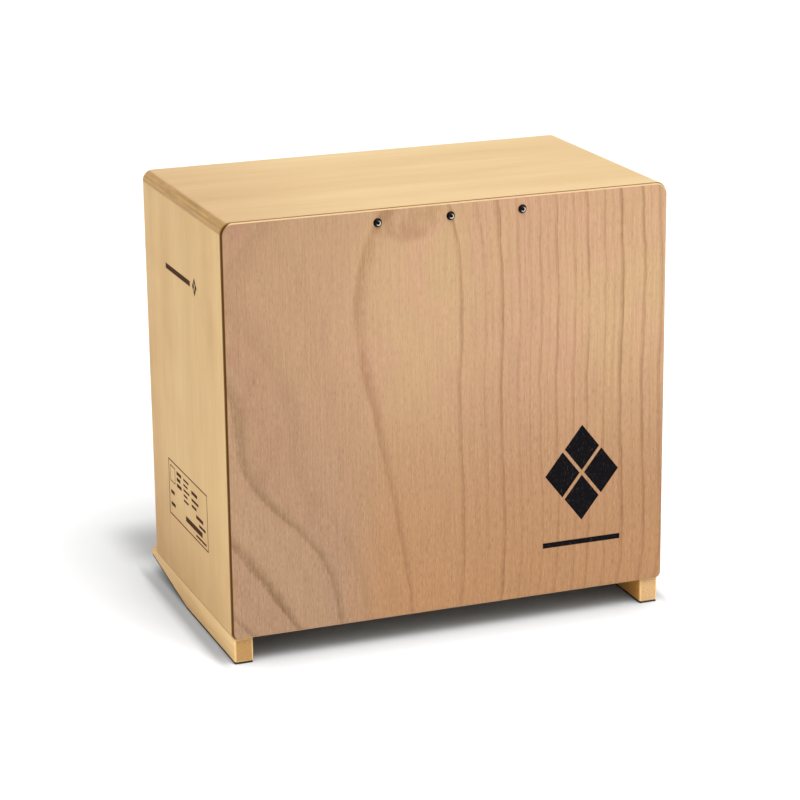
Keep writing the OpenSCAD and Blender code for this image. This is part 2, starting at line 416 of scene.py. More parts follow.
def stretched(shader, here, grain, along, across, shift=0.0):
    """A sampling point for fibres: compressed along the grain axis, fine across it."""
    parts = [value * (along if axis == grain else across) for axis, value in zip("xyz", here)]
    return shader.point(parts[0] + shift, parts[1] - shift * 0.7, parts[2] + shift * 0.3)


def fibres(shader, here, grain, shift):
    """Streaks of a veneer along its grain: broad bands, fine streaks and short flecks."""
    broad = shader.noise(stretched(shader, here, grain, 0.0022, 0.022, shift), detail=2)
    fine = shader.noise(stretched(shader, here, grain, 0.012, 0.42, shift), detail=3, roughness=0.6)
    fleck = shader.noise(stretched(shader, here, grain, 0.16, 1.9, shift), detail=2, roughness=0.6)
    return broad, fine, fleck


def plywood(name, face, grain, outer, thickness, plies, light, dark, edge_colour, shift):
    """Clear-lacquered birch plywood, with its plies worked out from the depth in the panel.

    face is the axis across the thickness, outer the coordinate of the outer face, and
    grain the axis of the outer veneer's grain. The plies' grain turns at each ply.
    """
    shader = Shader(name)
    here = shader.place_mm()
    facing = shader.facing()
    cross = next(a for a in "xyz" if a not in (face, grain))
    ply = thickness / (plies - 2 * SANDED_OFF)
    depth = (here[AXES[face]] * -1.0 + outer) if outer > 0 else (here[AXES[face]] - outer)
    depth = depth.absolute().at_least(0.02).at_most(thickness - 0.02)
    wavy = (shader.noise(shader.point(*here), scale=0.05, detail=2) - 0.5) * 0.2
    position = depth / ply + wavy + SANDED_OFF
    layer = position.floor()
    odd = layer.modulo(2.0)

    # The outer veneer
    broad, fine, fleck = fibres(shader, here, grain, shift)
    streak = (broad - 0.5) * 1.0 + (fine - 0.5) * 0.9 + (fleck - 0.5) * 0.45
    colour = shader.mix(streak + 0.5, dark, light)
    if face == "z":
        # Painted shade: the level panels grow darker towards their left end
        painted_shade_left = 1.0 - here[0].smooth_step(-270.0, -40.0)
        colour = shader.mix(painted_shade_left, colour, (0.85, 0.79, 0.76), blend="MULTIPLY")
    else:
        # Painted shade: darker and warmer towards the bottom; the patches of warmer wood vary at
        # random
        low = 1.0 - (here[2] - CASE_BASE).smooth_step(-30.0, 170.0)
        patch = shader.noise(shader.point(*here), scale=0.012, detail=2)
        warm = low * 0.7 + (patch - 0.5) * 1.6
        if face == "x":
            warm = warm + here[1].smooth_step(-60.0, 150.0) * 0.28
        colour = shader.mix(warm, colour, shader.mix(streak + 0.5, srgb(188, 138, 72),
                                                     srgb(214, 168, 100)))
        # Painted shade: darker towards the bottom; a little lighter near the front
        colour = shader.scaled(colour, here[1].smooth_step(-150.0, -80.0) * -0.035
                               + 1.035 - low * 0.08)

    # The plies on cut edges: every other one shows end grain, and each has its own tone
    along = shader.point(here[AXES[grain]] * 0.02 + here[AXES[cross]] * 0.02, layer * 3.7, shift)
    tone = shader.noise(along, detail=3, roughness=0.6)
    pores = shader.noise(shader.point(*here), scale=1.1, detail=3, roughness=0.65)
    edge_tone = (tone - 0.5) * 0.8 + (pores - 0.5) * 0.5 + 0.93 - odd * 0.14
    edge_tone = edge_tone + depth.smooth_step(0.0, thickness) * 0.27
    edge_wood = shader.scaled(edge_colour, edge_tone)
    glue = (position.fraction() - 0.5).absolute().smooth_step(0.42, 0.5)
    edge_wood = shader.scaled(edge_wood, 1.0 - glue * 0.3)
    cut = 1.0 - facing[AXES[face]].smooth_step(0.88, 0.985)
    colour = shader.mix(cut, colour, edge_wood)

    # Painted shadow and a dark glue line along the joint with the playing plate
    joint_shadow_and_glue = 1.0 - (here[1] - CASE_FRONT).smooth_step(0.3, 1.0)
    colour = shader.mix(joint_shadow_and_glue * 0.7, colour, srgb(136, 92, 40))

    height = shader.lerp(cut, fine * 0.5 + fleck * 0.5, pores * 0.9 - glue * 0.5)
    roughness = 0.42 + fleck * 0.14 + cut * 0.12
    return shader.finish(shader.quiet_bounce(colour, 0.45), roughness,
                         shader.bump(height, 0.05, 0.55),
                         Coat_Weight=0.06, Coat_Roughness=0.3, Specular_IOR_Level=0.25)


SIDE_BIRCH = (srgb(229, 193, 127), srgb(204, 160, 96), srgb(184, 145, 90))
TOP_BIRCH = (srgb(220, 193, 144), srgb(197, 161, 110), srgb(184, 145, 90))


def growth_rings(distance, rings):
    """Dark growth rings, each fading slowly on its inner side. A ring is its place in
    millimetres, its width and its strength."""
    dark, last = 0.0, 0.0
    for position, width, strength in rings:
        distance = distance - (position - last)
        last = position
        before = distance.smooth_step(width * -3.2, 0.0)
        after = distance.smooth_step(width, 0.0)
        dark = before.power(1.6) * after * strength + dark
    return dark


# Growth rings right of the arch: distance from it, width and strength
RIGHT_RINGS = ((0, 2.1, 0.7), (15, 1.8, 0.16), (28, 2.0, 0.34), (36, 1.4, 0.12),
               (47, 2.1, 0.8), (57, 1.2, 0.2), (67, 1.6, 0.42), (74, 1.1, 0.18),
               (80, 1.3, 0.36), (92, 1.5, 0.5), (101, 1.2, 0.2), (111, 1.7, 0.66),
               (121, 1.2, 0.2), (131, 1.5, 0.5), (139, 1.2, 0.24), (147, 1.8, 0.7),
               (157, 1.2, 0.22), (167, 1.6, 0.52), (177, 1.3, 0.28), (187, 2.1, 0.9),
               (200, 1.4, 0.26), (213, 2.0, 0.8), (222, 1.3, 0.2), (233, 1.8, 0.64))
# Growth rings left of the arch
LEFT_RINGS = ((0, 2.3, 0.66), (22, 7.0, 0.08), (47, 4.5, 0.2), (76, 3.0, 0.85),
              (100, 5.0, 0.1), (126, 3.6, 1.05), (150, 5.0, 0.14), (177, 3.0, 0.85))


def playing_plate_wood():
    """Beech veneer on the playing plate: one tall arch of growth rings, close upright
    rings to its right and wide leaning rings to its left."""
    shader = Shader("beech_plate")
    here = shader.place_mm()
    x = here[0] + HALF_W
    z = here[2] - CASE_BASE
    h = z / 100.0

    # Slow wander of all rings, and a fine tremble of each
    wander = shader.noise(shader.point(x * 0.008, 0.0, z * 0.011), detail=3, roughness=0.55)
    ripple = shader.noise(shader.point(x * 0.05, 3.0, z * 0.05), detail=2)
    tremble = shader.noise(shader.point(x * 0.2, 6.0, z * 0.1), detail=3, roughness=0.6)
    sway = (wander - 0.5) * 7.0 + (ripple - 0.5) * 2.4 + (tremble - 0.5) * 1.8

    # The arch's two legs
    left_leg = h.polynomial(0.746, -3.044, -0.588, -8.908, 201.3)
    right_leg = h.polynomial(-0.894, 7.506, -20.52, 19.28, 258.8)
    to_left = (left_leg - x + sway) / (h * 0.45 + 1.0)
    bend = ((z - 15.0) * (2 * math.pi / 205.0)).sine() * to_left.smooth_step(10.0, 70.0)
    to_left = to_left + bend * 9.0 * (1.0 - to_left.smooth_step(90.0, 130.0))
    to_left = to_left + (tremble - 0.5) * 5.0 * to_left.smooth_step(20.0, 60.0)
    ragged = shader.noise(shader.point(x * 0.45, 12.0, z * 0.32), detail=2)
    to_left = to_left + (ragged - 0.5) * 4.5 * to_left.smooth_step(60.0, 90.0)
    to_right = x - right_leg + sway
    to_right = to_right - h.smooth_step(3.9, 4.75) * to_right.smooth_step(15.0, 70.0) * 13.0

    fine = shader.noise(shader.point(x * 0.55, 2.0, z * 0.014), detail=3, roughness=0.6)
    fleck = shader.noise(shader.point(x * 0.9, 4.0, z * 0.13), detail=3, roughness=0.65)
    rays = fleck.smooth_step(0.52, 0.76)
    streak = shader.noise(shader.point(x * 0.3, 8.0, z * 0.02), detail=3, roughness=0.6)

    rings = growth_rings(to_right, RIGHT_RINGS) + growth_rings(to_left, LEFT_RINGS)
    broken = shader.noise(shader.point(x * 0.03, 7.0, z * 0.02), detail=2)
    dark = rings * ((broken - 0.5) * 0.9 + (fine - 0.5) * 1.4 + 0.86)

    # Fine rings between the strong ones on the right
    fine_rings = ((to_right / 4.6 + (wander - 0.5) * 1.5).fraction() - 0.5).absolute() * 2.0
    on_right = to_right.smooth_step(20.0, 110.0)
    dark = dark + fine_rings.power(3.0) * on_right * broken * 0.14

    # A feathered band beside the wide rings on the left, and a smudge at the arch's top
    mottle = shader.noise(shader.point(x * 0.07, 9.0, z * 0.03), detail=5, roughness=0.68)
    beside = to_left.smooth_step(34.0, 62.0) * (1.0 - to_left.smooth_step(66.0, 76.0))
    dark = dark + beside * mottle.smooth_step(0.3, 0.75) * z.smooth_step(40.0, 160.0) * 0.42
    above = z - 408.0 - (x - 205.0).absolute() * 0.42
    smudge = above.smooth_step(-4.0, 8.0) * (1.0 - (x - 206.0).absolute().smooth_step(26.0, 48.0))
    dark = dark + smudge * mottle.smooth_step(0.3, 0.62) * 0.55

    broad = shader.noise(shader.point(x * 0.007, 5.0, z * 0.0025), detail=2)
    patch = shader.noise(shader.point(x * 0.022, 11.0, z * 0.016), detail=2)
    light = shader.mix(broad.smooth_step(0.35, 0.65), srgb(187, 153, 113), srgb(183, 144, 111))
    light = shader.mix(patch.smooth_step(0.4, 0.7) * 0.5, light, srgb(188, 144, 117))
    # Painted light and shade: lighter to the right of the arch; darker and greyer to its left,
    # partly the wood's own tone
    light = shader.scaled(light, to_right.smooth_step(0.0, 120.0) * 0.07 + 1.0)
    light = shader.mix(to_left.smooth_step(-30.0, 50.0) * 0.9, light, srgb(168, 133, 101))
    pink = mottle.smooth_step(0.45, 0.6) * beside * 0.6
    light = shader.mix(pink, light, srgb(176, 130, 106))
    # Painted shade: darker towards the bottom, and warmer at the bottom right
    low = 1.0 - z.smooth_step(0.0, 330.0)
    low_right = low * x.smooth_step(110.0, 190.0)
    light = shader.mix(low * 0.9, light, srgb(162, 127, 99))
    light = shader.mix(low_right, light, srgb(171, 127, 87))
    between = to_left.smooth_step(78.0, 92.0) * (1.0 - to_left.smooth_step(116.0, 126.0))
    light = shader.mix(between * 0.25, light, srgb(172, 142, 106))
    colour = shader.mix((fine - 0.5) * 1.5 + (streak - 0.5) * 1.1 + 0.28, light,
                        shader.scaled(light, 0.76))
    leaning = to_left.smooth_step(0.0, 60.0)
    ring_brown = shader.mix(leaning, srgb(124, 78, 46), srgb(108, 80, 48))
    colour = shader.mix(dark * 0.6, colour, ring_brown)
    colour = shader.mix(rays * (low * 0.3 + 0.4), colour, srgb(112, 74, 48))
    pale = (0.46 - fleck) * 3.4
    colour = shader.mix(pale * 0.36, colour, srgb(214, 184, 146))

    # The rounded arris: pale above and below, brown along the left edge, dark in the joint
    normal = shader.split(shader.add("ShaderNodeNewGeometry", "Normal"))
    # The lower and upper arris are paler: partly sanded wood, partly a painted highlight
    sanded_and_lit = (normal[2] * -1.0).smooth_step(0.3, 0.75)
    colour = shader.mix(sanded_and_lit * 0.85, colour, srgb(212, 172, 128))
    colour = shader.mix(normal[2].smooth_step(0.25, 0.6), colour, srgb(204, 172, 130))
    # The left edge: brown end grain, darkened further by painted shade
    browned_and_shaded = (normal[0] * -1.0).smooth_step(0.12, 0.5)
    colour = shader.mix(browned_and_shaded, colour, srgb(92, 54, 12))
    # Painted shadow in the groove at the joint with the case, over brown edge wood
    depth = here[1] - PLATE_FRONT
    joint = depth.smooth_step(PLATE_T - 2.2, PLATE_T - 1.4)
    colour = shader.mix(joint, colour, srgb(64, 40, 14))
    gloss = 0.25 - browned_and_shaded.at_least(joint) * 0.2

    height = fine * 0.5 + rays * -0.5 - dark * 0.3
    return shader.finish(shader.quiet_bounce(colour, 0.36), 0.5 + fleck * 0.12,
                         shader.bump(height, 0.05, 0.6), Specular_IOR_Level=gloss)


def solid_wood(name, grain, light, dark, end_colour, shift, roughness=0.45, inner=None):
    """A piece sawn from one plank. A face that looks along x, no further from the middle than
    inner, is darker and browner: painted shade."""
    shader = Shader(name)
    here = shader.place_mm()
    facing = shader.facing()
    broad, fine, fleck = fibres(shader, here, grain, shift)
    streak = (broad - 0.5) * 2.0 + (fine - 0.5) * 1.1 + (fleck - 0.5) * 0.5
    colour = shader.mix(streak + 0.5, dark, light)
    end = facing[AXES[grain]].smooth_step(0.9, 0.995)
    pores = shader.noise(shader.point(here[0] * 0.35, here[1], here[2] * 1.4), detail=3)
    colour = shader.mix(end, colour, shader.scaled(end_colour, pores * 0.9 + 0.55))
    if inner is not None:
        # Painted shade on faces turned to the middle, such as the runners' inner faces
        away = (here[0].absolute() - inner).smooth_step(0.3, 0.9)
        shade = facing[0].smooth_step(0.8, 0.98) * (1.0 - away)
        colour = shader.mix(shade, colour, (0.74, 0.52, 0.26), blend="MULTIPLY")
    height = fine * 0.5 + fleck * 0.5
    return shader.finish(shader.quiet_bounce(colour, 0.4), fleck * 0.15 + roughness,
                         shader.bump(height, 0.06, 0.6),
                         Coat_Weight=0.05, Coat_Roughness=0.3, Specular_IOR_Level=0.25)


# -------------------- other materials

def metal(name, colour, roughness):
    """Plated metal with fine brushing."""
    shader = Shader(name)
    here = shader.place_mm()
    scratches = shader.noise(shader.point(here[0] * 3.0, here[1] * 3.0, here[2] * 0.6), detail=3)
    tone = shader.scaled(colour, scratches * 0.3 + 0.85)
    rough = scratches * 0.14 + (roughness - 0.07)
    return shader.finish(tone, rough, shader.bump(scratches, 0.01, 0.3), Metallic=1.0)


def socket_steel(name, places, pitch):
    """Blackened steel, with a painted highlight: a bright crescent on the flat round each socket.
    """
    shader = Shader(name)
    here = shader.place_mm()
    facing = shader.facing()
    across = (here[0] + pitch / 2).modulo(pitch) - pitch / 2
    up = here[2] - places[0][1]
    radius = (across * across + up * up).power(0.5)
    flat = radius.smooth_step(1.5, 1.75) * (1.0 - radius.smooth_step(2.55, 2.95))
    # Painted highlight, on the lower right of each socket's flat
    side = ((across * 0.8 - up * 0.45) / radius).smooth_step(-0.75, 0.45)
    scratches = shader.noise(shader.point(*here), scale=2.4, detail=3)
    painted_highlight = flat * side * facing[1].smooth_step(0.7, 0.95) * (scratches * 0.5 + 0.72)
    tone = shader.scaled((0.012, 0.010, 0.009), scratches * 0.6 + 0.7)
    tone = shader.mix(painted_highlight, tone, (0.66, 0.6, 0.54))
    return shader.finish(tone, scratches * 0.15 + 0.28, shader.bump(scratches, 0.01, 0.3),
                         Metallic=1.0)


def rubber(name):
    """Matt non-slip strip with a fine cross-hatched surface."""
    shader = Shader(name)
    here = shader.place_mm()
    ribs = (here[0] * 2.2 + here[1] * 2.2).sine() * (here[0] * 2.2 - here[1] * 2.2).sine()
    dust = shader.noise(shader.point(*here), scale=0.35, detail=4)
    colour = shader.mix(dust * 0.5, srgb(26, 25, 24), srgb(60, 58, 55))
    return shader.finish(colour, 0.82, shader.bump(ribs, 0.12, 0.7))


def hook_tape(name, loops):
    """Hook-and-loop tape: rows of stiff hooks, or a tangle of loops."""
    shader = Shader(name)
    here = shader.place_mm()
    tangle = shader.noise(shader.point(*here), scale=1.6, detail=4, distortion=1.2)
    rows = (here[0] * 3.1).sine() * (here[2] * 3.1).sine()
    height = tangle if loops else rows
    colour = shader.mix(tangle, srgb(18, 18, 20), srgb(56, 56, 60))
    return shader.finish(colour, 0.9, shader.bump(height, 0.4, 0.9), Sheen_Weight=0.4)


def print_ink(name, ink, wood, amount):
    """Ink or a burn on wood: grain and pores break it up a little."""
    shader = Shader(name)
    here = shader.place_mm()
    pores = shader.noise(shader.point(here[0] * 1.1, here[1] * 1.1, here[2] * 0.16), detail=2)
    specks = shader.noise(shader.point(*here), scale=0.55, detail=3).smooth_step(0.6, 0.72)
    bare = pores.smooth_step(0.62, 0.74) * amount + specks * amount * 0.35
    colour = shader.mix(bare, ink, wood)
    return shader.finish(colour, 0.6 + pores * 0.2, shader.bump(pores, 0.02, 0.4),
                         Specular_IOR_Level=0.06)


top_ply = plywood("birch_ply_top", "z", "x", CASE_TOP, PANEL_T, PANEL_PLIES, *TOP_BIRCH, 3.0)
left_ply = plywood("birch_ply_left", "x", "z", -HALF_W, PANEL_T, PANEL_PLIES, *SIDE_BIRCH, 11.0)
right_ply = plywood("birch_ply_right", "x", "z", HALF_W, PANEL_T, PANEL_PLIES, *SIDE_BIRCH, 23.0)
base_ply = plywood("birch_ply_base", "z", "x", CASE_BASE + PANEL_T, PANEL_T, PANEL_PLIES,
                   *SIDE_BIRCH, 37.0)
back_ply = plywood("birch_ply_back", "y", "z", CASE_BACK, back_high.y - back_low.y, BACK_PLIES,
                   *SIDE_BIRCH, 53.0)
beech = playing_plate_wood()
RUNNER_BIRCH = (srgb(246, 207, 143), srgb(219, 173, 109))
RUNNER_INNER = box_mm("right_runner")[0].x
# The two runners' end grain differs: the left darker, painted shade; the right lighter, painted
# light
left_runner_wood = solid_wood("runner_birch_left", "y", *RUNNER_BIRCH, srgb(173, 132, 78), 71.0,
                              inner=RUNNER_INNER)
right_runner_wood = solid_wood("runner_birch_right", "y", *RUNNER_BIRCH, srgb(201, 161, 112),
                               79.0, inner=RUNNER_INNER)
bar_wood = solid_wood("bar_beech", "x", srgb(214, 172, 130), srgb(186, 140, 98),
                      srgb(150, 106, 66), 83.0, 0.55)
BATTEN_BIRCH = (srgb(232, 200, 146), srgb(198, 154, 98), srgb(164, 120, 72))
batten_level = solid_wood("batten_level", "x", *BATTEN_BIRCH, 97.0, 0.6)
batten_upright = solid_wood("batten_upright", "z", *BATTEN_BIRCH, 103.0, 0.6)
zinc_steel = metal("zinc_steel", (0.62, 0.62, 0.58), 0.32)
brass = metal("brass", (0.62, 0.43, 0.16), 0.3)
snare_steel = metal("snare_steel", (0.7, 0.7, 0.7), 0.22)
strip_rubber = rubber("strip_rubber")
hook_fabric = hook_tape("hook_tape", loops=False)
loop_fabric = hook_tape("loop_tape", loops=True)
black_ink = print_ink("black_print", srgb(9, 8, 11), srgb(120, 100, 90), 0.3)
burn_mark = print_ink("burnt_print", srgb(66, 34, 8), srgb(140, 92, 46), 0.4)


# -------------------- case

CASE_ARRIS = 1.0
JOINT_ARRIS = 0.22
FLOOR_TOP = CASE_BASE + PANEL_T
TOP_JOINT = CASE_TOP - PANEL_T


def panel_rule(middle, direction):
    """Outer front and rear arrises are rounded more than the edges at glue joints."""
    on_end = min(abs(middle.y - CASE_FRONT), abs(middle.y - CASE_BACK)) < CLOSE
    inner = abs(middle.x) < HALF_W - TOP_R and FLOOR_TOP - 1 < middle.z < TOP_JOINT + 1
    joint = abs(middle.z - TOP_JOINT) < CLOSE and abs(direction.z) < 0.5
    if on_end and not inner and not joint:
        return 1.0
    return JOINT_ARRIS / CASE_ARRIS


def circle(centre, radius, steps=96):
    return arc(centre, radius, 0, 360 * (steps - 1) / steps, steps - 1)


def back_screw_points():
    """Places x, z of the back panel's screws: two per upright side, three per level side."""
    low, high = box_mm("back_panel_screws")
    edge_x, low_z, high_z = high.x - WOOD_HEAD_R, low.z + WOOD_HEAD_R, high.z - WOOD_HEAD_R
    points = [(x * (edge_x - 12.0), z) for x in (-1, 0, 1) for z in (low_z, high_z)]
    points += [(x * edge_x, low_z + share * (high_z - low_z))
               for x in (-1, 1) for share in (1 / 3, 2 / 3)]
    return points


def runner_screw_points():
    """Places x, y of the runners' screws: a row of three over each runner."""
    low, high = box_mm("runner_screws")
    span = high.y - low.y - 2 * WOOD_HEAD_R
    return [(side * (high.x - WOOD_HEAD_R), low.y + WOOD_HEAD_R + span * i / 2)
            for side in (-1, 1) for i in range(3)]


def screw_holes(points):
    """Holes a little wider than the wood screws' heads."""
    return [circle(point, WOOD_HEAD_R + 0.06, 48) for point in points]


BACK_SCREWS = back_screw_points()
RUNNER_SCREWS = runner_screw_points()


def build_panel(name, outline, material, holes=(), axis="y", start=CASE_FRONT, end=CASE_BACK):
    bm = bmesh.new()
    add_sheet(bm, outline, holes, axis, start, end)
    weigh_edges(bm, panel_rule)
    piece = make_object(name + "_wood", bm, "case", material, (name,))
    round_edges(piece, CASE_ARRIS)


case_outline = arched_outline(HALF_W, CASE_BASE, CASE_TOP, TOP_R, BASE_R)
build_panel("top_panel", clip(case_outline, 1, TOP_JOINT, True), top_ply)
below_top = clip(case_outline, 1, TOP_JOINT, False)
build_panel("left_side_panel", clip(below_top, 0, -INNER_HALF_W, False), left_ply)
build_panel("right_side_panel", clip(below_top, 0, INNER_HALF_W, True), right_ply)
build_panel("bottom_panel", rectangle(-INNER_HALF_W, CASE_FRONT, INNER_HALF_W, CASE_BACK),
            base_ply, screw_holes(RUNNER_SCREWS), "z", CASE_BASE, FLOOR_TOP)


def build_back():
    """The back panel, with its rounded sound hole."""
    hole_z = CASE_TOP - SOUND_HOLE_DROP
    bm = bmesh.new()
    add_sheet(bm, rectangle(back_low.x, back_low.z, back_high.x, back_high.z),
              [circle((0.0, hole_z), SOUND_HOLE_R, 128)] + screw_holes(BACK_SCREWS), "y",
              back_low.y, back_high.y)

    def rule(middle, direction):
        by_hole = math.hypot(middle.x, middle.z - hole_z) < SOUND_HOLE_R + 1
        return 1.0 if by_hole else 0.1
    weigh_edges(bm, rule)
    piece = make_object("back_panel_wood", bm, "case", back_ply, ("back_panel",))
    round_edges(piece, 1.6)


build_back()


# -------------------- playing plate

SCREW_BOXES = [box_mm(side + "_tone_screw") for side in ("left", "middle", "right")]
SCREW_PLACES = [((low.x + high.x) / 2, (low.z + high.z) / 2) for low, high in SCREW_BOXES]
PLATE_ARRIS = 1.8


def build_plate():
    outline = arched_outline(plate_high.x, plate_low.z, plate_high.z, PLATE_TOP_R,
                             PLATE_BASE_R)
    bm = bmesh.new()
    add_sheet(bm, outline, [circle(centre, PLATE_HOLE_R, 32) for centre in SCREW_PLACES], "y",
              PLATE_FRONT, CASE_FRONT)

    def rule(middle, direction):
        by_hole = any(math.hypot(middle.x - x, middle.z - z) < 4 for x, z in SCREW_PLACES)
        if by_hole:
            return 0.2
        return 1.0 if middle.y < PLATE_FRONT + CLOSE else 0.35
    weigh_edges(bm, rule)
    piece = make_object("playing_plate_wood", bm, "case", beech, ("playing_plate",))
    round_edges(piece, PLATE_ARRIS, 5)


build_plate()


# -------------------- runners

def build_runner(side, wood):
    """A runner: level in front, rising towards the back, all its long edges rounded."""
    node = side + "_runner"
    low, high = box_mm(node)
    level_end = low.y + RUNNER_LEVEL
    rise = (high.y - level_end) * math.tan(math.radians(RUNNER_SLOPE))
    profile = [(low.y, low.z), (level_end, low.z), (high.y, low.z + rise), (high.y, high.z),
               (low.y, high.z)]
    bm = bmesh.new()
    add_sheet(bm, profile, (), "x", low.x, high.x)

    def rule(middle, direction):
        if abs(middle.z - high.z) < CLOSE and CASE_FRONT + 1 < middle.y < CASE_BACK + 12:
            return 0.35
        return 1.0
    weigh_edges(bm, rule)
    piece = make_object(node + "_wood", bm, "case", wood, (node,))
    round_edges(piece, 3.0, 6)
    soften_cad_node(node + "_strip", 0.3, strip_rubber)


build_runner("left", left_runner_wood)
build_runner("right", right_runner_wood)


# -------------------- screws

def ring(bm, radius_at, depth, steps):
    """One ring of points round the screw's axis, which is the local z axis."""
    points = []
    for i in range(steps):
        a = 2 * math.pi * i / steps
        r = radius_at(a) if callable(radius_at) else radius_at
        points.append(bm.verts.new((r * math.cos(a), r * math.sin(a), depth)))
    return points


def skin(bm, rings):
    """Quads between neighbouring rings, and a cap on each end."""
    for first, second in zip(rings, rings[1:]):
        for i in range(len(first)):
            j = (i + 1) % len(first)
            bm.faces.new((first[i], first[j], second[j], second[i]))
    bm.faces.new(rings[0])
    bm.faces.new(list(reversed(rings[-1])))


def hexagon(half_flats):
    """Radius of a hexagon's side at each angle."""
    def radius(a):
        turn = (a + math.pi / 6) % (math.pi / 3) - math.pi / 6
        return half_flats / math.cos(turn)
    return radius


def cross_shape(reach, waist):
    """Radius of a four-winged recess at each angle."""
    def radius(a):
        return waist + (reach - waist) * abs(math.cos(2 * a)) ** 5
    return radius


def screw_mesh(bm, profile, socket, socket_depth, shank_r, shank_len, pitch, thread):
    """A screw: head profile from rim to mouth, a shaped recess, and a threaded shank."""
    steps = 48
    mouth = profile[-1][1]
    rings = [ring(bm, 0.05, mouth - socket_depth - 0.25, steps)]
    rings.append(ring(bm, lambda a: socket(a) * 0.93, mouth - socket_depth, steps))
    rings.append(ring(bm, socket, mouth - 0.12, steps))
    rings.append(ring(bm, lambda a: socket(a) + 0.10, mouth, steps))
    for r, z in reversed(profile):
        rings.append(ring(bm, r, z, steps))
    neck = profile[0][1]
    turns = int(shank_len / pitch * 4)
    for k in range(turns + 1):
        z = neck - (shank_len + neck) * k / turns
        fade = min(1.0, (shank_len + z) / (2.5 * shank_r))
        core = shank_r * (0.55 + 0.45 * fade) if thread == "point" else shank_r

        def threaded(a, z=z, core=core):
            wave = abs((z / pitch + a / (2 * math.pi)) % 1.0 - 0.5) * 2
            return core - 0.32 * wave * min(1.0, core / shank_r)
        rings.append(ring(bm, threaded, z, steps))
    rings.append(ring(bm, shank_r * 0.3, -shank_len - 0.15, steps))
    skin(bm, rings)


def dome(head_d, head_h, flat_d, steps=10):
    """Profile of a button head, from its rim to the flat on top."""
    rim, flat = head_d / 2, flat_d / 2
    centre = (flat ** 2 + head_h ** 2 - rim ** 2) / (2 * head_h)
    radius = math.hypot(rim, centre)
    start = math.asin(-centre / radius)
    end = math.asin((head_h - centre) / radius)
    points = [(rim - 0.25, 0.0)]
    for i in range(steps + 1):
        a = start + (end - start) * i / steps
        points.append((radius * math.cos(a), centre + radius * math.sin(a)))
    return points


def copy_in(bm, source, places):
    """Adds a copy of source at each place; a place maps a local point to the frame."""
    for place_of in places:
        new = {v: bm.verts.new(place_of(v.co) * MM) for v in source.verts}
        for face in source.faces:
            bm.faces.new([new[v] for v in face.verts])


def smooth(piece, angle=SHARP_ANGLE):
    """Smooth shading, except at edges sharper than angle."""
    for polygon in piece.data.polygons:
        polygon.use_smooth = True
    piece.data.set_sharp_from_angle(angle=math.radians(angle))


def facing_front(x, y, z):
    """Places a screw whose head looks to the front (-Y)."""
    return lambda p: Vector((x + p.x, y - p.z, z + p.y))


def facing_back(x, y, z):
    return lambda p: Vector((x - p.x, y + p.z, z + p.y))


def facing_up(x, y, z):
    return lambda p: Vector((x + p.x, y + p.y, z + p.z))


SCREW_PITCH = SCREW_PLACES[2][0] - SCREW_PLACES[1][0]
tone_screw_steel = socket_steel("black_steel", SCREW_PLACES, SCREW_PITCH)


def build_tone_screws():
    for side, (low, high) in zip(("left", "middle", "right"), SCREW_BOXES):
        source = bmesh.new()
        head_d = high.x - low.x
        head_h = PLATE_FRONT - low.y
        screw_mesh(source, dome(head_d, head_h, BUTTON_FLAT_D), hexagon(TONE_SOCKET_HALF),
                   TONE_SOCKET_DEPTH, TONE_SCREW_R, high.y - PLATE_FRONT, TONE_SCREW_PITCH, "flat")
        bm = bmesh.new()
        middle = ((low.x + high.x) / 2, PLATE_FRONT, (low.z + high.z) / 2)
        copy_in(bm, source, [facing_front(*middle)])
        node = side + "_tone_screw"
        piece = make_object(node + "_steel", bm, node, tone_screw_steel, (node,))
        smooth(piece)


build_tone_screws()


def wood_screws(name, places, length, node):
    source = bmesh.new()
    head = [(1.75, -2.2), (2.4, -1.6), (3.3, -0.35), (3.5, -0.12), (3.42, 0.0), (2.6, 0.0)]
    screw_mesh(source, head, cross_shape(WOOD_RECESS_REACH, WOOD_RECESS_WAIST),
               WOOD_RECESS_DEPTH, WOOD_SCREW_R, length, WOOD_SCREW_PITCH, "point")
    bm = bmesh.new()
    copy_in(bm, source, places)
    piece = make_object(name, bm, "case", zinc_steel, (node,))
    smooth(piece)


wood_screws("back_panel_screws_steel", [facing_back(x, CASE_BACK, z) for x, z in BACK_SCREWS],
            BACK_SCREW_LENGTH, "back_panel_screws")
wood_screws("runner_screws_steel", [facing_up(x, y, FLOOR_TOP) for x, y in RUNNER_SCREWS],
            RUNNER_SCREW_LENGTH, "runner_screws")


# -------------------- inside the case

for name in ("front_top_batten", "front_bottom_batten", "back_top_batten", "back_bottom_batten"):
    soften_cad_node(name, 0.9, batten_level, segments=3)
for name in ("front_left_batten", "front_right_batten", "back_left_batten", "back_right_batten"):
    soften_cad_node(name, 0.9, batten_upright, segments=3)
soften_cad_node("threaded_inserts", 0.25, brass)
soften_cad_node("loop_pads", 0.3, loop_fabric)
soften_cad_node("hook_pads", 0.3, hook_fabric)
soften_cad_node("snare_bar", 1.2, bar_wood, segments=3)
for side in ("left", "right"):
    soften_cad_node(side + "_snare_clip", 0.15, brass)
soften_cad_node("snare_clip_screws", 0.15, zinc_steel)


